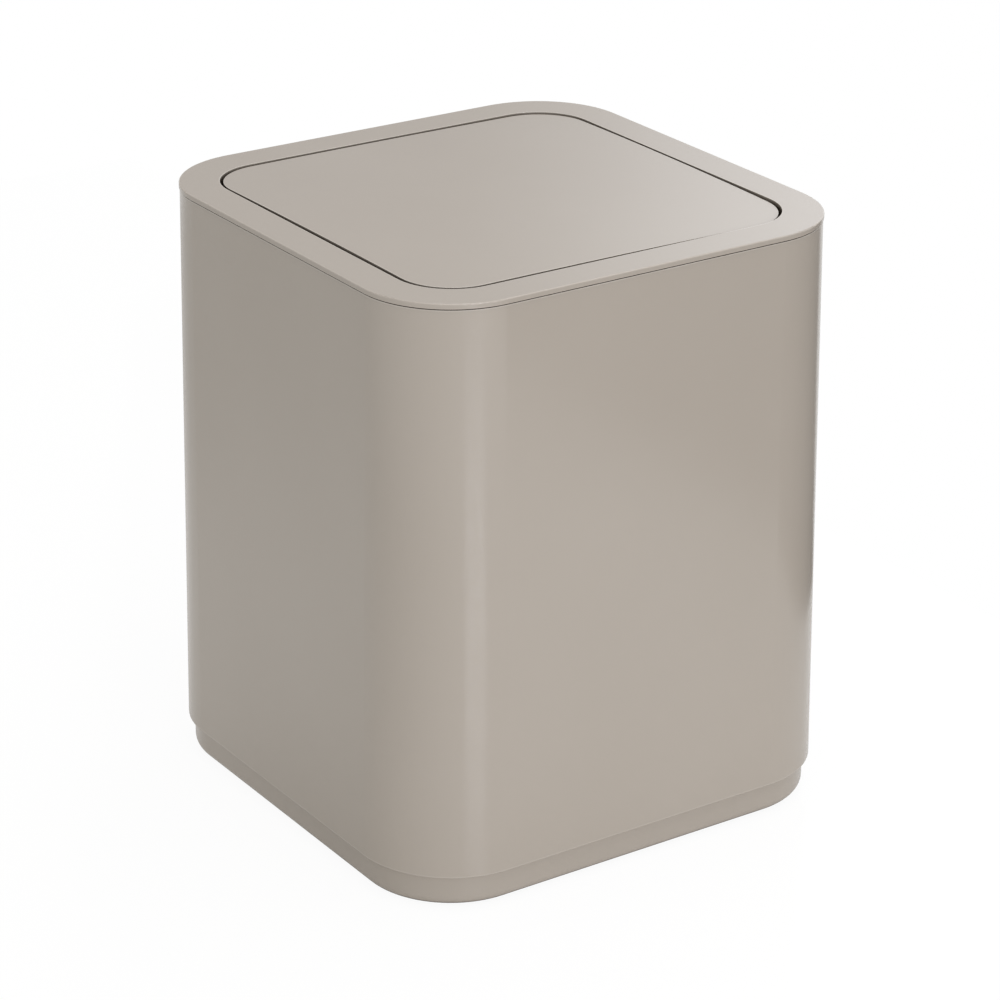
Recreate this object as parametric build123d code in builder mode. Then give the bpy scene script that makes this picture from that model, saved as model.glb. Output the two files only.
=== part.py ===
from build123d import *
from math import cos, radians, sin, sqrt, tan
import os

# Square swing-flap waste bin, millimetres, +Z up.
# The origin is on the ground under the middle of the bin, and the front is -Y.

# Outer form
lid_width = 200.0
lid_top = 244.0
corner_radius = 37.0
draft_angle = 0.81
wall = 2.5
edge_round = 0.5

# Seam between body and lid
lid_edge_height = 2.1
shadow_gap = 0.3
lid_overhang = 0.33
rim_lip_width = 1.3
seam_round = 0.2

# Plinth and floor of the base tray
ground_clearance = 0.8
plinth_height = 13.3
plinth_inset = 2.55
plinth_round = 3.5
tray_wall = 2.4
tray_drop = 0.2
tray_clearance = 0.2
floor_thickness = 2.5
rib_thickness = 1.6
rib_depth = 3.5
rib_pitch = 34.0
ledge_width = 8.0
ledge_thickness = 2.5

# Feet
foot_radius = 9.0
foot_thickness = 2.4
foot_clearance = 0.1
foot_wall = 1.6
foot_round = 0.4

# Screws that hold the tray
base_screw_radius = 1.75
base_screw_length = 12.0
base_head_radius = 3.4
base_head_height = 2.2
screw_boss_wall = 3.0
screw_clearance = 0.1
screw_tip_gap = 0.8
head_margin = 1.2

# Lid frame
frame_border = 15.5
opening_radius = 22.9
lip_wall = 2.0
lip_depth = 5.0
collar_clearance = 0.4
collar_wall = 2.2
collar_depth = 14.0
frame_rib_thickness = 1.4
frame_rib_pitch = 34.0
opening_round = 0.15

# Flap
flap_gap = 1.3
crown_height = 0.4
cover_wall = 2.0
flap_thickness = 6.5
underside_thickness = 1.8
underside_clearance = 0.15
flap_screw_radius = 1.25
flap_screw_length = 4.2
flap_head_radius = 2.6
flap_head_height = 1.3
flap_screw_inset = 24.0
flap_boss_wall = 2.2

# Counterweight and its keel
weight_length = 120.0
weight_width = 12.0
weight_height = 12.0
weight_clearance = 0.2
weight_chamfer = 0.6
keel_wall = 1.8
keel_depth = 17.5
keel_round = 1.2
keeper_thickness = 1.6
keeper_spacing = 80.0

# Pivot
axis_depth = 8.0
swing_limit = 80.0
pin_radius = 2.5
running_clearance = 0.05
pin_chamfer = 0.4
pin_boss_wall = 2.4
pin_boss_length = 10.0
pin_end_gap = 0.5
pin_hole_clearance = 0.4
bush_wall = 1.5
bush_seat_clearance = 0.05
bush_shoulder = 1.0
bush_chamfer = 0.3

# Pivot caps, their screws and the swing stops
cap_screw_radius = 1.25
cap_screw_depth = 4.2
cap_head_radius = 2.4
cap_head_height = 1.5
cap_margin = 1.0
cap_fit = 0.1
cap_round = 1.5
stop_half_width = 2.6
stop_gap = 0.3
stop_reach = 6.0
stop_thickness = 2.6
buffer_wall = 0.9
buffer_clearance = 0.05

# Heights that follow
sleeve_bottom = ground_clearance + plinth_height
rim_top = lid_top - lid_edge_height
floor_bottom = sleeve_bottom - tray_drop
floor_top = floor_bottom + floor_thickness
ledge_top = floor_top + ledge_thickness
axis_height = lid_top - axis_depth
flap_bottom = lid_top - flap_thickness
underside_top = flap_bottom + underside_thickness


def half_width(height):
    """Half the body's width at a height: just inside the lid at the rim, wider towards the ground."""
    return lid_width / 2 - lid_overhang + (rim_top - height) * tan(radians(draft_angle))


def corner_at(height):
    """Corner radius of the body at a height. All corner arcs share one centre."""
    return corner_radius + half_width(height) - lid_width / 2


def on_diagonal(reach):
    """Plan coordinate of a point that lies reach beyond the centre of a corner arc."""
    return lid_width / 2 - corner_radius + reach / sqrt(2)


def cross_screw(head_radius, head_height, shank_radius, shank_length):
    """Pan-head screw pointing up, its head seated under z = 0, with a cross recess."""
    slot_length = 1.1 * head_radius
    slot_width = 0.3 * head_radius
    with BuildPart() as screw:
        with BuildSketch(Plane.XY):
            Circle(head_radius)
        extrude(amount=-head_height)
        fillet(screw.edges().group_by(Axis.Z)[0], 0.45 * head_height)
        with BuildSketch(Plane.XY.offset(-head_height)):
            Rectangle(slot_length, slot_width)
            Rectangle(slot_width, slot_length)
        extrude(amount=0.6 * head_height, mode=Mode.SUBTRACT)
        with BuildSketch(Plane.XY):
            Circle(shank_radius)
        extrude(amount=shank_length)
        chamfer(screw.edges().group_by(Axis.Z)[-1], 0.4 * shank_radius)
    return screw.part


# Plan sizes that follow
sleeve_half = half_width(sleeve_bottom)
sleeve_corner = corner_at(sleeve_bottom)
plinth_half = sleeve_half - plinth_inset
plinth_corner = sleeve_corner - plinth_inset
screw_reach = plinth_corner - tray_wall - base_head_radius - head_margin
screw_place = 2 * on_diagonal(screw_reach)
foot_seat_radius = foot_radius + foot_clearance
foot_boss_radius = foot_seat_radius + foot_wall
foot_reach = screw_reach - base_head_radius - head_margin - foot_boss_radius
foot_place = on_diagonal(foot_reach)
opening_half = lid_width / 2 - frame_border
flap_half = opening_half - flap_gap
flap_corner = opening_radius - flap_gap
collar_half = half_width(rim_top) - wall - collar_clearance
collar_corner = corner_at(rim_top) - wall - collar_clearance
collar_inner = collar_half - collar_wall
lip_outer = opening_half + lip_wall

# Body sleeve: drafted walls open at both ends, a rebated rim, and a ledge with screw bosses
base_boss_radius = base_screw_radius + screw_clearance + screw_boss_wall
base_hole_depth = base_screw_length - floor_thickness + screw_tip_gap
ledge_half = half_width(floor_top) - wall / 2
ledge_corner = corner_at(floor_top) - wall / 2
ledge_inset = wall / 2 + ledge_width
with BuildPart() as body_sleeve:
    with BuildSketch(Plane.XY.offset(sleeve_bottom)):
        RectangleRounded(2 * sleeve_half, 2 * sleeve_half, sleeve_corner)
    extrude(amount=rim_top - sleeve_bottom, taper=draft_angle)
    inner_half = sleeve_half - wall
    with BuildSketch(Plane.XY.offset(sleeve_bottom)):
        RectangleRounded(2 * inner_half, 2 * inner_half, sleeve_corner - wall)
    extrude(amount=rim_top - sleeve_bottom, taper=draft_angle, mode=Mode.SUBTRACT)
    with BuildSketch(Plane.XY.offset(floor_top)):
        RectangleRounded(2 * ledge_half, 2 * ledge_half, ledge_corner)
        with Locations((0, 0)):
            ledge_opening = 2 * (ledge_half - ledge_inset)
            RectangleRounded(ledge_opening, ledge_opening, ledge_corner - ledge_inset, mode=Mode.SUBTRACT)
    extrude(amount=ledge_thickness)
    with BuildSketch(Plane.XY.offset(floor_top)):
        with GridLocations(screw_place, screw_place, 2, 2):
            Circle(base_boss_radius)
    extrude(amount=base_hole_depth + screw_boss_wall)
    with BuildSketch(Plane.XY.offset(floor_top)):
        with GridLocations(screw_place, screw_place, 2, 2):
            Circle(base_screw_radius + screw_clearance)
    extrude(amount=base_hole_depth, mode=Mode.SUBTRACT)
    with BuildSketch(Plane.XY.offset(rim_top)):
        lip_side = 2 * (half_width(rim_top) - wall + rim_lip_width)
        lip_corner = corner_at(rim_top) - wall + rim_lip_width
        Rectangle(2 * lid_width, 2 * lid_width)
        RectangleRounded(lip_side, lip_side, lip_corner, mode=Mode.SUBTRACT)
    extrude(amount=-shadow_gap, mode=Mode.SUBTRACT)
    foot_edge = body_sleeve.faces().sort_by(Axis.Z)[0].outer_wire().edges()
    fillet(foot_edge, edge_round)
    rim_step = body_sleeve.faces().filter_by(Plane.XY).sort_by(Axis.Z)[-2].outer_wire().edges()
    fillet(rim_step, seam_round)
body_sleeve.part.label = "body_sleeve"

# Base tray: recessed plinth, bin floor, ribs, screw holes and seats for the feet
tray_half = half_width(floor_top) - wall - tray_clearance
tray_corner = corner_at(floor_top) - wall - tray_clearance
foot_seat_depth = foot_thickness - ground_clearance
with BuildPart() as base_tray:
    with BuildSketch(Plane.XY.offset(ground_clearance)):
        RectangleRounded(2 * plinth_half, 2 * plinth_half, plinth_corner)
    extrude(amount=floor_bottom - ground_clearance)
    fillet(base_tray.edges().group_by(Axis.Z)[0], plinth_round)
    skirt_inner = plinth_half - tray_wall
    with BuildSketch(Plane.XY.offset(ground_clearance)):
        RectangleRounded(2 * skirt_inner, 2 * skirt_inner, plinth_corner - tray_wall)
    extrude(amount=floor_bottom - ground_clearance, mode=Mode.SUBTRACT)
    with BuildSketch(Plane.XY.offset(floor_bottom)):
        RectangleRounded(2 * tray_half, 2 * tray_half, tray_corner)
    extrude(amount=floor_thickness)
    with BuildSketch(Plane.XY.offset(floor_bottom)):
        rib_length = 2 * plinth_half - tray_wall
        with GridLocations(rib_pitch, 0, 3, 1):
            Rectangle(rib_thickness, rib_length)
        with GridLocations(0, rib_pitch, 1, 3):
            Rectangle(rib_length, rib_thickness)
    extrude(amount=-rib_depth)
    with BuildSketch(Plane.XY.offset(ground_clearance)):
        with GridLocations(2 * foot_place, 2 * foot_place, 2, 2):
            Circle(foot_boss_radius)
    extrude(amount=floor_bottom - ground_clearance)
    with BuildSketch(Plane.XY.offset(ground_clearance)):
        with GridLocations(2 * foot_place, 2 * foot_place, 2, 2):
            Circle(foot_seat_radius)
    extrude(amount=foot_seat_depth, mode=Mode.SUBTRACT)
    with BuildSketch(Plane.XY.offset(floor_bottom)):
        with GridLocations(screw_place, screw_place, 2, 2):
            Circle(base_screw_radius + screw_clearance)
    extrude(amount=floor_thickness, mode=Mode.SUBTRACT)
base_tray.part.label = "base_tray"

# Four screws up through the floor into the sleeve's bosses
base_screw = cross_screw(base_head_radius, base_head_height, base_screw_radius, base_screw_length)
with BuildPart() as base_screws:
    with Locations((0, 0, floor_bottom)):
        with GridLocations(screw_place, screw_place, 2, 2):
            add(base_screw)
base_screws.part.label = "base_screws"

# Four round anti-slip feet in their seats
foot_corners = {
    "foot_front_left": (-foot_place, -foot_place),
    "foot_front_right": (foot_place, -foot_place),
    "foot_back_left": (-foot_place, foot_place),
    "foot_back_right": (foot_place, foot_place),
}
feet = {}
for foot_name, (foot_x, foot_y) in foot_corners.items():
    with BuildPart() as foot:
        with BuildSketch(Plane.XY):
            with Locations((foot_x, foot_y)):
                Circle(foot_radius)
        extrude(amount=foot_thickness)
        fillet(foot.edges().group_by(Axis.Z)[0], foot_round)
    foot.part.label = foot_name
    feet[foot_name] = foot.part

# Pivot sizes that follow
bore_radius = pin_radius + running_clearance
bush_radius = bore_radius + bush_wall
seat_radius = bush_radius + bush_seat_clearance
pin_hole_radius = pin_radius + pin_hole_clearance
cap_screw_place = seat_radius + cap_margin + cap_head_radius
block_half_width = cap_screw_place + cap_head_radius + cap_margin
block_middle = (lip_outer + collar_inner) / 2
bush_inner = lip_outer + bush_shoulder
bush_outer = collar_inner - pin_end_gap
pin_outer = collar_inner - pin_end_gap
underside_half = flap_half - cover_wall - underside_clearance
pin_inner = underside_half - pin_boss_length
underside_above_axis = flap_bottom - axis_height
stop_drop = (stop_half_width * sin(radians(swing_limit)) - underside_above_axis + stop_gap) / cos(
    radians(swing_limit)
)
stop_top = axis_height - stop_drop
cap_bottom = stop_top - stop_thickness
axis_line = Plane((0, 0, axis_height), x_dir=(0, 1, 0), z_dir=(1, 0, 0))

# Lid frame: flat border, lip round the opening, collar inside the body, ribs and bearing blocks
with BuildPart() as lid_frame:
    with BuildSketch(Plane.XY.offset(rim_top)):
        RectangleRounded(lid_width, lid_width, corner_radius)
    extrude(amount=lid_edge_height)
    fillet(lid_frame.edges().group_by(Axis.Z)[-1], edge_round)
    fillet(lid_frame.edges().group_by(Axis.Z)[0], seam_round)
    with BuildSketch(Plane.XY.offset(rim_top)):
        RectangleRounded(2 * collar_half, 2 * collar_half, collar_corner)
        RectangleRounded(2 * collar_inner, 2 * collar_inner, collar_corner - collar_wall, mode=Mode.SUBTRACT)
    extrude(amount=-collar_depth)
    with BuildSketch(Plane.XY.offset(lid_top - lip_depth)):
        RectangleRounded(2 * lip_outer, 2 * lip_outer, opening_radius + lip_wall)
    extrude(amount=lip_depth - lid_edge_height)
    with BuildSketch(Plane.XY.offset(lid_top - lip_depth)):
        rib_span = collar_inner - lip_outer + lip_wall / 2 + collar_wall / 2
        rib_middle = (collar_inner + collar_wall / 2 + lip_outer - lip_wall / 2) / 2
        with GridLocations(2 * rib_middle, frame_rib_pitch, 2, 4):
            Rectangle(rib_span, frame_rib_thickness)
        with GridLocations(frame_rib_pitch, 2 * rib_middle, 4, 2):
            Rectangle(frame_rib_thickness, rib_span)
    extrude(amount=lip_depth - lid_edge_height)
    with BuildSketch(Plane.XY.offset(axis_height)):
        with GridLocations(2 * block_middle, 0, 2, 1):
            Rectangle(collar_inner - lip_outer + collar_wall, 2 * block_half_width)
        RectangleRounded(2 * lip_outer, 2 * lip_outer, opening_radius + lip_wall, mode=Mode.SUBTRACT)
    extrude(amount=rim_top - axis_height)
    with BuildSketch(Plane.XY.offset(lid_top - lip_depth)):
        RectangleRounded(2 * opening_half, 2 * opening_half, opening_radius)
    extrude(amount=lip_depth, mode=Mode.SUBTRACT)
    fillet(lid_frame.faces().sort_by(Axis.Z)[-1].inner_wires()[0].edges(), opening_round)
    for side in (-1, 1):
        with BuildSketch(axis_line.offset(side * bush_inner)):
            Circle(seat_radius)
        extrude(amount=side * (collar_inner - bush_inner), mode=Mode.SUBTRACT)
        with BuildSketch(axis_line.offset(side * lip_outer)):
            Circle(pin_hole_radius)
        extrude(amount=side * bush_shoulder, mode=Mode.SUBTRACT)
    with BuildSketch(Plane.XY.offset(axis_height)):
        with GridLocations(2 * block_middle, 2 * cap_screw_place, 2, 2):
            Circle(cap_screw_radius + screw_clearance)
    extrude(amount=cap_screw_depth, mode=Mode.SUBTRACT)
lid_frame.part.label = "lid_frame"

# Bushes, caps and stop buffers, one of each at both ends of the pivot line
tongue_half_width = stop_half_width - buffer_wall
tongue_top = stop_top - buffer_wall
tongue_inner = flap_half - stop_reach
cap_inner = lip_outer + cap_fit
cap_outer = collar_inner - cap_fit
cap_length = cap_outer - cap_inner
cap_middle = (cap_inner + cap_outer) / 2
screw_seat = cap_bottom + cap_head_height
bushes = {}
caps = {}
buffers = {}
pins = {}
for side_name, side in (("left", -1), ("right", 1)):
    with BuildPart() as bush:
        with BuildSketch(axis_line.offset(side * (bush_inner + cap_fit))):
            Circle(bush_radius)
            Circle(bore_radius, mode=Mode.SUBTRACT)
        extrude(amount=side * (bush_outer - bush_inner - cap_fit))
        chamfer(bush.edges().filter_by(GeomType.CIRCLE), bush_chamfer)
    bush.part.label = f"pivot_bush_{side_name}"
    bushes[bush.part.label] = bush.part

    with BuildPart() as cap:
        with BuildSketch(Plane.XY.offset(cap_bottom)):
            with Locations((side * cap_middle, 0)):
                RectangleRounded(cap_length, 2 * block_half_width, cap_round)
        extrude(amount=axis_height - cap_bottom)
        with BuildSketch(Plane.XY.offset(cap_bottom)):
            with Locations((side * (tongue_inner + cap_middle) / 2, 0)):
                Rectangle(cap_middle - tongue_inner, 2 * tongue_half_width)
        extrude(amount=tongue_top - cap_bottom)
        with BuildSketch(axis_line.offset(side * bush_inner)):
            Circle(seat_radius)
        extrude(amount=side * (collar_inner - bush_inner), mode=Mode.SUBTRACT)
        with BuildSketch(axis_line.offset(side * lip_outer)):
            Circle(pin_hole_radius)
        extrude(amount=side * bush_shoulder, mode=Mode.SUBTRACT)
        with BuildSketch(Plane.XY.offset(cap_bottom)):
            with Locations((side * block_middle, 0)):
                with GridLocations(0, 2 * cap_screw_place, 1, 2):
                    Circle(cap_screw_radius + screw_clearance)
        extrude(amount=axis_height - cap_bottom, mode=Mode.SUBTRACT)
        with BuildSketch(Plane.XY.offset(cap_bottom)):
            with Locations((side * block_middle, 0)):
                with GridLocations(0, 2 * cap_screw_place, 1, 2):
                    Circle(cap_head_radius + screw_clearance)
        extrude(amount=cap_head_height, mode=Mode.SUBTRACT)
    cap.part.label = f"pivot_cap_{side_name}"
    caps[cap.part.label] = cap.part

    buffer_inner = tongue_inner - buffer_wall
    buffer_outer = cap_inner - cap_fit
    with BuildPart() as stop_buffer:
        with BuildSketch(Plane.XY.offset(cap_bottom - buffer_wall)):
            with Locations((side * (buffer_inner + buffer_outer) / 2, 0)):
                Rectangle(buffer_outer - buffer_inner, 2 * stop_half_width)
        extrude(amount=stop_top - cap_bottom + buffer_wall)
        with BuildSketch(Plane.XY.offset(cap_bottom - buffer_clearance)):
            with Locations((side * (tongue_inner - buffer_clearance + cap_middle) / 2, 0)):
                slot_width = 2 * (tongue_half_width + buffer_clearance)
                Rectangle(cap_middle - tongue_inner + buffer_clearance, slot_width)
        extrude(amount=tongue_top - cap_bottom + 2 * buffer_clearance, mode=Mode.SUBTRACT)
    stop_buffer.part.label = f"stop_buffer_{side_name}"
    buffers[stop_buffer.part.label] = stop_buffer.part

    with BuildPart() as pin:
        with BuildSketch(axis_line.offset(side * pin_inner)):
            Circle(pin_radius)
        extrude(amount=side * (pin_outer - pin_inner))
        chamfer(pin.edges().filter_by(GeomType.CIRCLE), pin_chamfer)
    pin.part.label = f"pivot_pin_{side_name}"
    pins[pin.part.label] = pin.part

# Two screws up into each bearing block
cap_screw_length = axis_height - screw_seat + cap_screw_depth - screw_tip_gap
cap_screw = cross_screw(cap_head_radius, cap_head_height, cap_screw_radius, cap_screw_length)
with BuildPart() as cap_screws:
    with Locations((0, 0, screw_seat)):
        with GridLocations(2 * block_middle, 2 * cap_screw_place, 2, 2):
            add(cap_screw)
cap_screws.part.label = "cap_screws"

# Flap cover: gently crowned top and straight skirt, hollow to an even wall below
crown_radius = (flap_half**2 + crown_height**2) / (2 * crown_height)
crown_top = lid_top + crown_height
crown_centre = crown_top - crown_radius
cavity_half = flap_half - cover_wall
flap_screw_place = 2 * (flap_half - flap_screw_inset)
flap_boss_radius = flap_screw_radius + screw_clearance + flap_boss_wall
weight_top = axis_height - keel_depth + keel_wall + weight_clearance + weight_height
with BuildPart() as flap_cavity:
    with BuildSketch(Plane.XY.offset(flap_bottom)):
        RectangleRounded(2 * cavity_half, 2 * cavity_half, flap_corner - cover_wall)
    extrude(amount=crown_top - flap_bottom)
    with Locations((0, 0, crown_centre)):
        Sphere(crown_radius - cover_wall, rotation=(90, 0, 0), mode=Mode.INTERSECT)
with BuildPart() as flap_cover:
    with BuildSketch(Plane.XY.offset(flap_bottom)):
        RectangleRounded(2 * flap_half, 2 * flap_half, flap_corner)
    extrude(amount=crown_top - flap_bottom)
    with Locations((0, 0, crown_centre)):
        Sphere(crown_radius, rotation=(90, 0, 0), mode=Mode.INTERSECT)
    fillet(flap_cover.faces().sort_by(Axis.Z)[-1].edges(), opening_round)
    add(flap_cavity.part, mode=Mode.SUBTRACT)
    with BuildSketch(Plane.XY.offset(underside_top)):
        with GridLocations(flap_screw_place, flap_screw_place, 2, 2):
            Circle(flap_boss_radius)
    extrude(amount=lid_top - cover_wall / 2 - underside_top)
    with BuildSketch(Plane.XY.offset(underside_top)):
        with GridLocations(flap_screw_place, flap_screw_place, 2, 2):
            Circle(flap_screw_radius + screw_clearance)
    extrude(amount=flap_screw_length - underside_thickness + screw_tip_gap / 2, mode=Mode.SUBTRACT)
    with BuildSketch(Plane.XY.offset(weight_top + weight_clearance)):
        with GridLocations(keeper_spacing, 0, 2, 1):
            Rectangle(keeper_thickness, weight_width - 2 * weight_clearance)
    extrude(amount=lid_top - cover_wall / 2 - weight_top - weight_clearance)
    with BuildSketch(axis_line.offset(-flap_half)):
        Circle(pin_hole_radius)
    extrude(amount=2 * flap_half, mode=Mode.SUBTRACT, clean=False)
flap_cover.part.label = "flap_cover"

# Flap underside: closing plate with pin bosses and the keel that holds the counterweight
keel_inner_length = weight_length + 2 * weight_clearance
keel_inner_width = weight_width + 2 * weight_clearance
keel_bottom = axis_height - keel_depth
pin_boss_radius = pin_radius + running_clearance + pin_boss_wall
with BuildPart() as flap_underside:
    with BuildSketch(Plane.XY.offset(flap_bottom)):
        underside_corner = flap_corner - cover_wall - underside_clearance
        RectangleRounded(2 * underside_half, 2 * underside_half, underside_corner)
    extrude(amount=underside_thickness)
    with BuildSketch(Plane.XY.offset(keel_bottom)):
        RectangleRounded(keel_inner_length + 2 * keel_wall, keel_inner_width + 2 * keel_wall, keel_round)
    extrude(amount=flap_bottom - keel_bottom)
    fillet(flap_underside.faces().sort_by(Axis.Z)[0].edges(), keel_round / 2)
    with BuildSketch(Plane.XY.offset(keel_bottom + keel_wall)):
        Rectangle(keel_inner_length, keel_inner_width)
    extrude(amount=underside_top - keel_bottom - keel_wall, mode=Mode.SUBTRACT)
    for side in (-1, 1):
        with BuildSketch(axis_line.offset(side * pin_inner)):
            Circle(pin_boss_radius)
        extrude(amount=side * pin_boss_length)
    for side in (-1, 1):
        with BuildSketch(axis_line.offset(side * pin_inner)):
            Circle(pin_radius + running_clearance)
        extrude(amount=side * pin_boss_length, mode=Mode.SUBTRACT)
    with BuildSketch(Plane.XY.offset(flap_bottom)):
        with GridLocations(flap_screw_place, flap_screw_place, 2, 2):
            Circle(flap_screw_radius + screw_clearance)
    extrude(amount=underside_thickness, mode=Mode.SUBTRACT)
flap_underside.part.label = "flap_underside"

# Counterweight bar lying on the keel's floor
with BuildPart() as counterweight:
    with BuildSketch(Plane.XY.offset(weight_top - weight_height)):
        Rectangle(weight_length, weight_width)
    extrude(amount=weight_height)
    chamfer(counterweight.edges().filter_by(Axis.X), weight_chamfer)
counterweight.part.label = "counterweight"

# Four screws up through the underside into the cover
flap_screw = cross_screw(flap_head_radius, flap_head_height, flap_screw_radius, flap_screw_length)
with BuildPart() as flap_screws:
    with Locations((0, 0, flap_bottom)):
        with GridLocations(flap_screw_place, flap_screw_place, 2, 2):
            add(flap_screw)
flap_screws.part.label = "flap_screws"

# One file for each piece
os.makedirs("parts", exist_ok=True)
export_step(body_sleeve.part, "parts/body_sleeve.step")
export_step(base_tray.part, "parts/base_tray.step")
export_step(base_screws.part, "parts/base_screws.step")
export_step(lid_frame.part, "parts/lid_frame.step")
export_step(cap_screws.part, "parts/cap_screws.step")
export_step(flap_cover.part, "parts/flap_cover.step")
export_step(flap_underside.part, "parts/flap_underside.step")
export_step(counterweight.part, "parts/counterweight.step")
export_step(flap_screws.part, "parts/flap_screws.step")
for group in (feet, bushes, caps, buffers, pins):
    for piece_name, piece in group.items():
        export_step(piece, f"parts/{piece_name}.step")
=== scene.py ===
from math import cos, pi, radians, sin, sqrt

import bpy
from mathutils import Matrix, Vector


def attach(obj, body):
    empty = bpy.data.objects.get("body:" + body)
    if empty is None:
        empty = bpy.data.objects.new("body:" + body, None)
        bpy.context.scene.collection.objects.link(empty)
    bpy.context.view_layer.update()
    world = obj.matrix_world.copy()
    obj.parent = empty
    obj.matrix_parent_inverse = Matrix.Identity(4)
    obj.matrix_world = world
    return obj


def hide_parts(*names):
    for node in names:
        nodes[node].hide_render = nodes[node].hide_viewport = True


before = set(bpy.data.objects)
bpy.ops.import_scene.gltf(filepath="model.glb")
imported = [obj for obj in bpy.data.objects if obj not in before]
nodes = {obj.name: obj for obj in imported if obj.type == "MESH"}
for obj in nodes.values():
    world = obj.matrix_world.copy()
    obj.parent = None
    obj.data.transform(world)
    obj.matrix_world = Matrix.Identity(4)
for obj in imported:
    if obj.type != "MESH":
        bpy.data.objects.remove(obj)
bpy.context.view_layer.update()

# The camera, as worked out from the bin's outlines in the photograph: angles in degrees, places in
# metres, sensor and lens in millimetres. The lamps and the panel are also aimed at MIDDLE.
CAMERA_AZIMUTH = -34.029
CAMERA_ELEVATION = 23.214
CAMERA_ROLL = 0.302
CAMERA_DISTANCE = 1.40104
CAMERA_TARGET_RIGHT = 0.00146
CAMERA_TARGET_UP = -0.00408
SENSOR_WIDTH = 36.0
FOCAL_LENGTH = 126.212
CLIP_NEAR = 0.01
CLIP_FAR = 50.0
MIDDLE = Vector((0, 0, 0.12))


def make_camera():
    across, height, roll = radians(CAMERA_AZIMUTH), radians(CAMERA_ELEVATION), radians(CAMERA_ROLL)
    backward = Vector((sin(across) * cos(height), -cos(across) * cos(height), sin(height)))
    right = (-backward).cross(Vector((0, 0, 1))).normalized()
    up = right.cross(-backward)
    place = MIDDLE + right * CAMERA_TARGET_RIGHT + up * CAMERA_TARGET_UP + backward * CAMERA_DISTANCE
    side = right * cos(roll) + up * sin(roll)
    top = up * cos(roll) - right * sin(roll)
    data = bpy.data.cameras.new("camera")
    data.sensor_width = SENSOR_WIDTH
    data.lens = FOCAL_LENGTH
    data.clip_start = CLIP_NEAR
    data.clip_end = CLIP_FAR
    camera = bpy.data.objects.new("camera", data)
    turn = Matrix((side, top, backward)).transposed().to_4x4()
    camera.matrix_world = Matrix.Translation(place) @ turn
    bpy.context.scene.collection.objects.link(camera)
    bpy.context.scene.camera = camera


make_camera()


# Node helpers
WHITE = (1, 1, 1, 1)
CREVICE_SAMPLES = 8
RELIEF_DEPTH = 0.0001
# Places of the colour mix node's sockets, which share their names with others
MIX_FACTOR, MIX_FIRST, MIX_SECOND, MIX_RESULT = 0, 6, 7, 2


def new_material(name):
    material = bpy.data.materials.new(name)
    material.use_nodes = True
    tree = material.node_tree
    return material, tree, tree.nodes["Principled BSDF"]


def link(tree, source, target):
    tree.links.new(source, target)


def node(tree, kind, **inputs):
    made = tree.nodes.new(kind)
    for key, value in inputs.items():
        made.inputs[key].default_value = value
    return made


def object_place(tree):
    """The point of the surface in the object's own coordinates."""
    return tree.nodes.new("ShaderNodeTexCoord").outputs["Object"]


def place_parts(tree):
    parts = tree.nodes.new("ShaderNodeSeparateXYZ")
    link(tree, object_place(tree), parts.inputs["Vector"])
    return parts.outputs["X"], parts.outputs["Y"], parts.outputs["Z"]


def noise(tree, scale, detail):
    made = node(tree, "ShaderNodeTexNoise", Scale=scale, Detail=detail)
    link(tree, object_place(tree), made.inputs["Vector"])
    return made.outputs["Fac"]


def ramp(tree, value, low_colour, high_colour, low, high):
    """Colour that runs from one to the other while the value runs from low to high."""
    made = tree.nodes.new("ShaderNodeValToRGB")
    for element, position, colour in zip(made.color_ramp.elements, (low, high), (low_colour, high_colour)):
        element.position = position
        element.color = colour
    link(tree, value, made.inputs["Fac"])
    return made.outputs["Color"]


def map_range(tree, value, start=0.0, end=1.0, low=0.0, high=1.0, smooth=False):
    """Low where the value is at the start, high where it is at the end, and held beyond them."""
    made = node(tree, "ShaderNodeMapRange",
                **{"From Min": start, "From Max": end, "To Min": low, "To Max": high})
    if smooth:
        made.interpolation_type = "SMOOTHSTEP"
    link(tree, value, made.inputs["Value"])
    return made.outputs["Result"]


def calculate(tree, operation, first, second=None, clamp=False):
    """One arithmetic step: each operand is a number or a socket."""
    made = tree.nodes.new("ShaderNodeMath")
    made.operation = operation
    made.use_clamp = clamp
    for socket, operand in zip(made.inputs, (first, second)):
        if isinstance(operand, (int, float)):
            socket.default_value = operand
        elif operand is not None:
            link(tree, operand, socket)
    return made.outputs["Value"]


def band(tree, value, middle, reach):
    """1 where the value is at the middle, falling to 0 at this distance on either side."""
    distance = calculate(tree, "ABSOLUTE", calculate(tree, "SUBTRACT", value, middle))
    return map_range(tree, distance, start=reach, end=0.0, smooth=True)


def outline_distance(tree, half, corner):
    """How far a point lies outside a rounded square round the middle, in metres."""
    squares = []
    for part in place_parts(tree)[:2]:
        over = calculate(tree, "SUBTRACT", calculate(tree, "ABSOLUTE", part), half - corner)
        over = calculate(tree, "MAXIMUM", over, 0.0)
        squares.append(calculate(tree, "MULTIPLY", over, over))
    both = calculate(tree, "SQRT", calculate(tree, "ADD", *squares))
    return calculate(tree, "SUBTRACT", both, corner)


def mixed(tree, blend, factor, first, second):
    """Two colours blended; each is a colour or a socket, and the factor a number or a socket."""
    made = tree.nodes.new("ShaderNodeMix")
    made.data_type = "RGBA"
    made.blend_type = blend
    for place, value in ((MIX_FACTOR, factor), (MIX_FIRST, first), (MIX_SECOND, second)):
        if isinstance(value, (int, float, tuple)):
            made.inputs[place].default_value = value
        else:
            link(tree, value, made.inputs[place])
    return made.outputs[MIX_RESULT]


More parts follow.
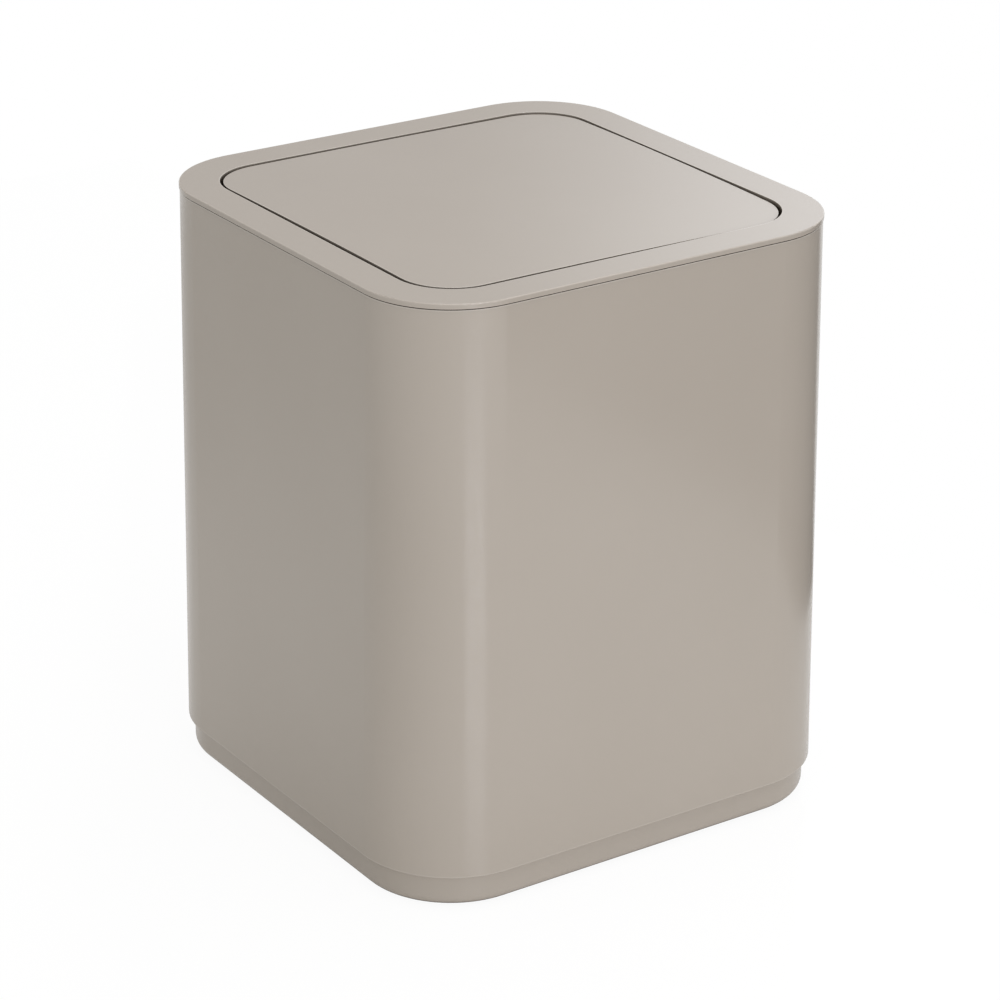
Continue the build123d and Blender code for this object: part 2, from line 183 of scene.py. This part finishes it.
def crevice_shade(tree, distance, closed, open_air, darkest):
    """Painted shade: how much colour is left in a crevice by its ambient occlusion, darkest inside it and 1
    in the open.
    """
    shade = node(tree, "ShaderNodeAmbientOcclusion", Distance=distance)
    shade.samples = CREVICE_SAMPLES
    return map_range(tree, shade.outputs["AO"], start=closed, end=open_air, low=darkest)


def dress(tree, shader, colour, roughness, relief, strength):
    """Give a surface its colour, its roughness and a fine relief."""
    link(tree, colour, shader.inputs["Base Color"])
    link(tree, roughness, shader.inputs["Roughness"])
    bump = node(tree, "ShaderNodeBump", Strength=strength, Distance=RELIEF_DEPTH)
    link(tree, relief, bump.inputs["Height"])
    link(tree, bump.outputs["Normal"], shader.inputs["Normal"])


# Sizes of the bin, in metres
FLAP_HALF = 0.0832
FLAP_CORNER = 0.0216
OPENING_HALF = 0.0845
OPENING_CORNER = 0.0229
LID_HALF = 0.1
LID_CORNER = 0.037
LID_TOP = 0.244
SLEEVE_TOP = 0.2419
SLEEVE_BOTTOM = 0.0141
TRAY_BOTTOM = 0.0008

# Reach of the worn edges, which also carry a painted highlight, and of the painted contact shadow, in
# metres, and their strengths
EDGE_WEAR_HIGHLIGHT_REACH = 0.0007
LIP_WEAR_HIGHLIGHT_REACH = 0.0005
FULL_WEAR_HIGHLIGHT = 1.0
SLEEVE_BOTTOM_WEAR_HIGHLIGHT = 0.35
LID_RIM_WEAR_HIGHLIGHT = 0.1
WORN_ROUGHNESS = 0.1
# Painted contact shadow along the tray's bottom edge: its reach and strength
CONTACT_SHADOW_REACH = 0.0022
CONTACT_SHADOW_STRENGTH = 0.9
# Share of the tray's own colour left at the darkest of its painted crevice shade
TRAY_CREVICE_SHADE = 0.9

# A worn outline is half a side, a corner radius and a strength; a worn height is a level and a strength.
# Both are pale bands, partly wear and partly a painted highlight line.
FLAP_WEAR_HIGHLIGHT = [(FLAP_HALF, FLAP_CORNER, FULL_WEAR_HIGHLIGHT)]
LID_WEAR_HIGHLIGHT = [(OPENING_HALF, OPENING_CORNER, FULL_WEAR_HIGHLIGHT), (LID_HALF, LID_CORNER, LID_RIM_WEAR_HIGHLIGHT)]
SLEEVE_WEAR_HIGHLIGHT = [(SLEEVE_TOP - LIP_WEAR_HIGHLIGHT_REACH, FULL_WEAR_HIGHLIGHT), (SLEEVE_BOTTOM + LIP_WEAR_HIGHLIGHT_REACH, SLEEVE_BOTTOM_WEAR_HIGHLIGHT)]

SHELL_DARK = (0.436, 0.384, 0.324, 1)
SHELL_LIGHT = (0.448, 0.396, 0.336, 1)
# Pale colour of the worn edges, which also serves as a painted highlight line along them
SHELL_WORN_HIGHLIGHT = (0.62, 0.57, 0.50, 1)
SHELL_IOR = 1.55
# Painted shade: dark colour mixed into crevices, gaps and seams, and into a band along the tray's bottom
# edge
PAINTED_SHADE = (0.075, 0.055, 0.038, 1)
INNER_DARK = (0.385, 0.345, 0.30, 1)
INNER_LIGHT = (0.415, 0.375, 0.33, 1)
# Painted shade for the inner plastic's crevices
INNER_PAINTED_SHADE = (0.1, 0.088, 0.075, 1)
BEARING_DARK = (0.74, 0.72, 0.655, 1)
BEARING_LIGHT = (0.80, 0.785, 0.73, 1)
STEEL_DARK = (0.53, 0.535, 0.55, 1)
STEEL_LIGHT = (0.60, 0.60, 0.605, 1)
STEEL_HANDLED = (0.62, 0.60, 0.57, 1)
HANDLED_STRENGTH = 0.35
SCRATCH_SCALE = (60.0, 2400.0, 2400.0)
RUBBER_DARK = (0.045, 0.043, 0.041, 1)
RUBBER_DUSTY = (0.10, 0.097, 0.09, 1)


def gloss_shell(name, worn_highlit_outlines=(), worn_highlit_heights=(), crevice_shade_darkest=0.0, contact_shadow_height=None):
    """Satin-gloss taupe plastic: faint mottling, uneven gloss, paler edges that are partly wear and partly
    a painted highlight, painted shade in crevices and seams, an optional painted contact shadow along one
    height, fine orange-peel skin.
    """
    material, tree, shader = new_material(name)
    colour = ramp(tree, noise(tree, scale=14.0, detail=3.0), SHELL_DARK, SHELL_LIGHT, low=0.25, high=0.75)
    height = place_parts(tree)[2]
    wear_and_highlight = []
    # Worn edges, partly wear and partly a painted highlight line along outlines and heights
    for half, corner, strength in worn_highlit_outlines:
        on_top = calculate(tree, "MULTIPLY", strength, band(tree, height, LID_TOP, EDGE_WEAR_HIGHLIGHT_REACH))
        at_edge = band(tree, outline_distance(tree, half, corner), 0.0, EDGE_WEAR_HIGHLIGHT_REACH)
        wear_and_highlight.append(calculate(tree, "MULTIPLY", on_top, at_edge))
    for level, strength in worn_highlit_heights:
        wear_and_highlight.append(calculate(tree, "MULTIPLY", strength, band(tree, height, level, LIP_WEAR_HIGHLIGHT_REACH)))
    rubbed_and_highlit = 0.0
    for more in wear_and_highlight:
        rubbed_and_highlit = calculate(tree, "MAXIMUM", rubbed_and_highlit, more)
    patches = map_range(tree, noise(tree, scale=60.0, detail=3.0), low=0.4)
    rubbed_and_highlit = calculate(tree, "MULTIPLY", rubbed_and_highlit, patches, clamp=True)
    colour = mixed(tree, "MIX", rubbed_and_highlit, colour, SHELL_WORN_HIGHLIGHT)
    # Painted shade: gaps and seams are darkened by their ambient occlusion
    unshaded_share = crevice_shade(tree, distance=0.003, closed=0.3, open_air=0.95, darkest=crevice_shade_darkest)
    colour = mixed(tree, "MIX", unshaded_share, PAINTED_SHADE, colour)
    # Painted contact shadow: a dark band along the given height
    if contact_shadow_height is not None:
        contact_shadow = calculate(tree, "MULTIPLY", band(tree, height, contact_shadow_height, CONTACT_SHADOW_REACH), CONTACT_SHADOW_STRENGTH)
        colour = mixed(tree, "MIX", contact_shadow, colour, PAINTED_SHADE)
    smears = map_range(tree, noise(tree, scale=30.0, detail=4.0), low=0.19, high=0.23)
    roughness = calculate(tree, "ADD", smears, calculate(tree, "MULTIPLY", rubbed_and_highlit, WORN_ROUGHNESS))
    dress(tree, shader, colour, roughness, relief=noise(tree, scale=900.0, detail=2.0), strength=0.02)
    shader.inputs["IOR"].default_value = SHELL_IOR
    return material


def inner_plastic():
    """Matt moulded plastic with a spark-eroded grain, faint flow marks and painted shade in its crevices.
    """
    material, tree, shader = new_material("inner_plastic")
    colour = ramp(tree, noise(tree, scale=22.0, detail=4.0), INNER_DARK, INNER_LIGHT, low=0.3, high=0.7)
    # Painted shade: crevices darkened by their ambient occlusion
    unshaded_share = crevice_shade(tree, distance=0.004, closed=0.1, open_air=0.8, darkest=0.5)
    colour = mixed(tree, "MIX", unshaded_share, INNER_PAINTED_SHADE, colour)
    roughness = map_range(tree, noise(tree, scale=60.0, detail=3.0), low=0.48, high=0.66)
    dress(tree, shader, colour, roughness, relief=noise(tree, scale=2600.0, detail=3.0), strength=0.35)
    return material


def bearing_plastic():
    """Natural bearing plastic: milky, slightly waxy, with fine turning rings round the pin's axis."""
    material, tree, shader = new_material("bearing_plastic")
    milk = noise(tree, scale=90.0, detail=2.0)
    colour = ramp(tree, milk, BEARING_DARK, BEARING_LIGHT, low=0.3, high=0.7)
    rings = node(tree, "ShaderNodeTexWave", Scale=900.0, Distortion=0.4)
    rings.bands_direction = "X"
    link(tree, object_place(tree), rings.inputs["Vector"])
    roughness = map_range(tree, milk, low=0.3, high=0.42)
    dress(tree, shader, colour, roughness, relief=rings.outputs["Fac"], strength=0.15)
    return material


def steel():
    """Zinc-plated steel: cold sheen, faint crystal patches, fine scratches and duller handled spots."""
    material, tree, shader = new_material("steel")
    shader.inputs["Metallic"].default_value = 1.0
    spangle = node(tree, "ShaderNodeTexVoronoi", Scale=420.0)
    link(tree, object_place(tree), spangle.inputs["Vector"])
    tint = ramp(tree, spangle.outputs["Distance"], STEEL_DARK, STEEL_LIGHT, low=0.1, high=0.9)
    dull = noise(tree, scale=120.0, detail=4.0)
    handled = ramp(tree, dull, STEEL_HANDLED, WHITE, low=0.35, high=0.6)
    colour = mixed(tree, "MULTIPLY", HANDLED_STRENGTH, tint, handled)
    grain = node(tree, "ShaderNodeMapping", Scale=SCRATCH_SCALE)
    link(tree, object_place(tree), grain.inputs["Vector"])
    scratches = node(tree, "ShaderNodeTexNoise", Scale=1.0, Detail=3.0)
    link(tree, grain.outputs["Vector"], scratches.inputs["Vector"])
    roughness = map_range(tree, dull, low=0.42, high=0.24)
    dress(tree, shader, colour, roughness, relief=scratches.outputs["Fac"], strength=0.12)
    return material


def dark_rubber():
    """Matt rubber, a little dusty, with a fine moulded grain."""
    material, tree, shader = new_material("dark_rubber")
    dust = noise(tree, scale=240.0, detail=5.0)
    colour = ramp(tree, dust, RUBBER_DARK, RUBBER_DUSTY, low=0.45, high=0.8)
    roughness = map_range(tree, dust, low=0.7, high=0.95)
    dress(tree, shader, colour, roughness, relief=noise(tree, scale=1800.0, detail=3.0), strength=0.4)
    return material


finishes = {
    gloss_shell("gloss_body", worn_highlit_heights=SLEEVE_WEAR_HIGHLIGHT): ["body_sleeve"],
    # The tray's painted crevice shade is light, and it gets a painted contact shadow along its bottom edge
    gloss_shell("gloss_tray", crevice_shade_darkest=TRAY_CREVICE_SHADE, contact_shadow_height=TRAY_BOTTOM): ["base_tray"],
    gloss_shell("gloss_lid", worn_highlit_outlines=LID_WEAR_HIGHLIGHT): ["lid_frame"],
    gloss_shell("gloss_flap", worn_highlit_outlines=FLAP_WEAR_HIGHLIGHT): ["flap_cover"],
    inner_plastic(): ["flap_underside", "pivot_cap_left", "pivot_cap_right"],
    bearing_plastic(): ["pivot_bush_left", "pivot_bush_right"],
    steel(): ["pivot_pin_left", "pivot_pin_right", "counterweight",
              "base_screws", "cap_screws", "flap_screws"],
    dark_rubber(): ["stop_buffer_left", "stop_buffer_right", "foot_front_left", "foot_front_right",
                    "foot_back_left", "foot_back_right"],
}
for material, names in finishes.items():
    for name in names:
        nodes[name].material_slots[0].material = material


# Flap cover with the twist that the photograph shows: its gap line fades at the front right and widens
# round the right corner
COVER_WALL = 0.002
COVER_LOW = 0.2375
COVER_CEILING = 0.2412
COVER_ROUND = 0.00015
COVER_SUPPORT = 0.0003
COVER_ARC_STEPS = 4
COVER_SIDE_STEPS = 24
COVER_CORNER_STEPS = 14
COVER_RINGS = 16
COVER_SHARP_ANGLE = 35
PIN_HEIGHT = 0.236
PIN_HOLE_RADIUS = 0.0029
NOTCH_STEPS = 4
NOTCH_STEP_ANGLE = pi / 12

# Rise of the cover's top over the lid's top, in metres. U and V are the share of the span along X and Y.
TWIST_SPAN = 0.084
RISE_MIDDLE = 0.00020
RISE_U = -0.00017
RISE_V = -0.00011
RISE_UU = -0.00006
RISE_VV = -0.00042
RISE_UV = 0.00027
RISE_UUV = 0.00010
RISE_UVV = -0.00017
RISE_UUVV = -0.00040


def cover_top(x, y):
    """Height of the cover's top face at a point of the plan."""
    u, v = x / TWIST_SPAN, y / TWIST_SPAN
    rise = RISE_MIDDLE + RISE_U * u + RISE_V * v + RISE_UU * u * u + RISE_VV * v * v + RISE_UV * u * v
    rise += RISE_UUV * u * u * v + RISE_UVV * u * v * v + RISE_UUVV * u * u * v * v
    return LID_TOP + rise


def cover_skirt(x, y):
    """Height of the skirt's lower edge, which is notched over the pins."""
    if abs(y) < PIN_HOLE_RADIUS and abs(x) > FLAP_HALF / 2:
        return max(COVER_LOW, PIN_HEIGHT + sqrt(PIN_HOLE_RADIUS ** 2 - y * y))
    return COVER_LOW


def cover_outline(inset):
    """Points round the cover's rounded square, this far inside its edge."""
    straight = FLAP_HALF - FLAP_CORNER
    radius = FLAP_CORNER - inset
    along = [straight * (2 * step / COVER_SIDE_STEPS - 1) for step in range(1, COVER_SIDE_STEPS)]
    for step in range(1, NOTCH_STEPS + 1):
        reach = PIN_HOLE_RADIUS * sin(NOTCH_STEP_ANGLE * step)
        along += [-reach, reach]
    side = [(FLAP_HALF - inset, value) for value in sorted(along)]
    for step in range(COVER_CORNER_STEPS + 1):
        angle = pi / 2 * step / COVER_CORNER_STEPS
        side.append((straight + radius * cos(angle), straight + radius * sin(angle)))
    points = []
    for quarter in range(4):
        turn = quarter * pi / 2
        points += [(x * cos(turn) - y * sin(turn), x * sin(turn) + y * cos(turn)) for x, y in side]
    return points


def cover_rings():
    """Rings of points from the ceiling down the skirt's inside, up its outside and in over the top."""
    inner, outer = cover_outline(COVER_WALL), cover_outline(0)
    rings = [[(x, y, COVER_CEILING) for x, y in inner]]
    rings += [[(x, y, cover_skirt(x, y)) for x, y in outline] for outline in (inner, outer)]
    rings.append([(x, y, cover_top(x, y) - COVER_ROUND - COVER_SUPPORT) for x, y in outer])
    for step in range(COVER_ARC_STEPS + 1):
        angle = pi / 2 * step / COVER_ARC_STEPS
        outline = cover_outline(COVER_ROUND * (1 - cos(angle)))
        drop = COVER_ROUND * (1 - sin(angle))
        rings.append([(x, y, cover_top(x, y) - drop) for x, y in outline])
    top = cover_outline(COVER_ROUND + COVER_SUPPORT)
    for step in range(COVER_RINGS):
        share = 1 - step / COVER_RINGS
        rings.append([(x * share, y * share, cover_top(x * share, y * share)) for x, y in top])
    return rings


def flap_cover_twisted():
    """The cover as one closed mesh: faces between the rings, and a fan at either end of them."""
    rings = cover_rings()
    count = len(rings[0])
    points = [point for ring in rings for point in ring]
    faces = [(row * count + place, row * count + (place + 1) % count,
              (row + 1) * count + (place + 1) % count, (row + 1) * count + place)
             for row in range(len(rings) - 1) for place in range(count)]
    ceiling, middle = len(points), len(points) + 1
    points += [(0, 0, COVER_CEILING), (0, 0, cover_top(0, 0))]
    last = (len(rings) - 1) * count
    faces += [(ceiling, (place + 1) % count, place) for place in range(count)]
    faces += [(middle, last + place, last + (place + 1) % count) for place in range(count)]
    mesh = bpy.data.meshes.new("flap_cover_twisted")
    mesh.from_pydata(points, [], faces)
    mesh.shade_smooth()
    mesh.set_sharp_from_angle(angle=radians(COVER_SHARP_ANGLE))
    mesh.materials.append(nodes["flap_cover"].material_slots[0].material)
    piece = bpy.data.objects.new("flap_cover_twisted", mesh)
    bpy.context.scene.collection.objects.link(piece)
    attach(piece, "flap")
    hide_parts("flap_cover")


flap_cover_twisted()


# Set: a glossy white sheet on the ground, a dark flag beside it, two lamps, a soft panel and a white world.
# Lengths in metres, angles in degrees.
SHEET_LEFT = -0.62
SHEET_RIGHT = 0.262
SHEET_FRONT = -1.3
SHEET_BACK = 0.80
SHEET_COLOUR = (0.81, 0.80, 0.775, 1)
SHEET_ROUGHNESS = 0.12
SHEET_GLOW = 0.08
SHEET_BRIGHT_SPOT = (-0.17, 0.24, 0.0)
SHEET_BRIGHT_RADIUS = 0.34
SHEET_BRIGHT_GLOW = 0.64
SHEET_CAMERA_WHITE = 0.92
SHEET_EMISSION = 1.02

FLAG_RIGHT = 1.6
FLAG_BACK_LEFT = 0.03
FLAG_BACK_RIGHT = 0.45
FLAG_DROP = -0.002
FLAG_COLOUR = (0.03, 0.03, 0.03, 1)
FLAG_ROUGHNESS = 0.9

WORLD_LEVEL = 0.50

PANEL_LEFT = -0.5
PANEL_RIGHT = 0.7
PANEL_LOW = -0.25
PANEL_HIGH = 0.45
PANEL_FADE = 0.42
PANEL_BASE = 0.43
PANEL_STRENGTH = 1.3
PANEL_COLOUR = (0.97, 1.0, 1.05, 1)
FRONT_COLOUR = (0.975, 1.0, 1.09)
OVERHEAD_COLOUR = (1.0, 1.0, 1.04)


def seen_or_mirrored(tree):
    """1 for rays from the camera and for rays that a gloss or a glass has sent on, else 0."""
    path = tree.nodes.new("ShaderNodeLightPath")
    sent_on = calculate(tree, "MAXIMUM", path.outputs["Is Glossy Ray"], path.outputs["Is Transmission Ray"])
    return calculate(tree, "MAXIMUM", path.outputs["Is Camera Ray"], sent_on)


def mix_shaders(tree, share, first, second, output):
    """The second shader in this share over the first, sent to the output's surface."""
    mix = tree.nodes.new("ShaderNodeMixShader")
    for socket, source in zip(mix.inputs, (share, first, second)):
        link(tree, source, socket)
    link(tree, mix.outputs["Shader"], tree.nodes[output].inputs["Surface"])


def sheet_material():
    """Glossy white board that shows white to the camera, keeps a faint shadow and glows round one spot."""
    material, tree, shader = new_material("sheet")
    shader.inputs["Base Color"].default_value = SHEET_COLOUR
    shader.inputs["Roughness"].default_value = SHEET_ROUGHNESS
    white = node(tree, "ShaderNodeEmission", Strength=SHEET_EMISSION)
    reach = tree.nodes.new("ShaderNodeVectorMath")
    reach.operation = "DISTANCE"
    reach.inputs[1].default_value = SHEET_BRIGHT_SPOT
    link(tree, object_place(tree), reach.inputs[0])
    glow = map_range(tree, reach.outputs["Value"], start=SHEET_BRIGHT_RADIUS, end=0.0,
                     low=SHEET_GLOW, high=SHEET_BRIGHT_GLOW, smooth=True)
    path = tree.nodes.new("ShaderNodeLightPath")
    share = node(tree, "ShaderNodeMix", B=SHEET_CAMERA_WHITE)
    link(tree, path.outputs["Is Camera Ray"], share.inputs["Factor"])
    link(tree, glow, share.inputs["A"])
    mix_shaders(tree, share.outputs["Result"], shader.outputs["BSDF"], white.outputs["Emission"],
                "Material Output")
    return material


def flag_material():
    """Dark cloth beside the board, which darkens the reflections near the bin's right edge."""
    material, tree, shader = new_material("flag")
    shader.inputs["Base Color"].default_value = FLAG_COLOUR
    shader.inputs["Roughness"].default_value = FLAG_ROUGHNESS
    return material


def panel_material():
    """Soft panel whose glow falls to its base level over the fade's length, along its own X."""
    material, tree, shader = new_material("panel")
    tree.nodes.remove(shader)
    fade = map_range(tree, place_parts(tree)[0], start=PANEL_FADE, end=0.0,
                     low=PANEL_BASE, high=PANEL_BASE + PANEL_STRENGTH, smooth=True)
    glow = node(tree, "ShaderNodeEmission", Color=PANEL_COLOUR)
    link(tree, fade, glow.inputs["Strength"])
    link(tree, glow.outputs["Emission"], tree.nodes["Material Output"].inputs["Surface"])
    return material


def plane(name, corners, material, height=0.0):
    """A flat four-cornered thing of the set, not part of the bin."""
    mesh = bpy.data.meshes.new(name)
    mesh.from_pydata([(x, y, height) for x, y in corners], [], [(0, 1, 2, 3)])
    mesh.materials.append(material)
    thing = bpy.data.objects.new(name, mesh)
    bpy.context.scene.collection.objects.link(thing)
    return thing


def place_facing(thing, bearing, height, distance):
    """Put a lamp or panel round the bin, facing its middle."""
    across, up = radians(bearing), radians(height)
    thing.location = MIDDLE + Vector((cos(across) * cos(up), sin(across) * cos(up), sin(up))) * distance
    thing.rotation_euler = (MIDDLE - thing.location).to_track_quat("-Z", "Y").to_euler()


def lamp(name, bearing, height, distance, width, depth, power, colour):
    data = bpy.data.lights.new(name, "AREA")
    data.shape = "RECTANGLE"
    data.size = width
    data.size_y = depth
    data.energy = power
    data.color = colour
    made = bpy.data.objects.new(name, data)
    bpy.context.scene.collection.objects.link(made)
    place_facing(made, bearing, height, distance)


def make_world():
    """White for the camera and in reflections, and a softer level for the light that falls on the bin."""
    made = bpy.data.worlds.new("studio")
    bpy.context.scene.world = made
    made.use_nodes = True
    tree = made.node_tree
    surround = tree.nodes["Background"]
    surround.inputs["Color"].default_value = WHITE
    surround.inputs["Strength"].default_value = WORLD_LEVEL
    white = node(tree, "ShaderNodeBackground", Color=WHITE, Strength=1.0)
    mix_shaders(tree, seen_or_mirrored(tree), surround.outputs["Background"], white.outputs["Background"],
                "World Output")
    made.cycles.sampling_method = "NONE"


plane("sheet", [(SHEET_LEFT, SHEET_FRONT), (SHEET_RIGHT, SHEET_FRONT), (SHEET_RIGHT, SHEET_BACK),
                (SHEET_LEFT, SHEET_BACK)], sheet_material())
flag = plane("flag_right", [(SHEET_RIGHT, SHEET_FRONT), (FLAG_RIGHT, SHEET_FRONT),
                            (FLAG_RIGHT, FLAG_BACK_RIGHT), (SHEET_RIGHT, FLAG_BACK_LEFT)],
             flag_material(), height=FLAG_DROP)
flag.visible_camera = False
make_world()
lamp("front", bearing=-98, height=14, distance=1.5, width=0.56, depth=0.36, power=6.15, colour=FRONT_COLOUR)
lamp("overhead", bearing=-60, height=80, distance=1.4, width=1.2, depth=1.2, power=10.4,
     colour=OVERHEAD_COLOUR)
panel = plane("panel", [(PANEL_LEFT, PANEL_LOW), (PANEL_RIGHT, PANEL_LOW), (PANEL_RIGHT, PANEL_HIGH),
                        (PANEL_LEFT, PANEL_HIGH)], panel_material())
place_facing(panel, bearing=38, height=20, distance=1.2)
panel.visible_camera = False

bpy.context.scene.view_settings.view_transform = "Standard"
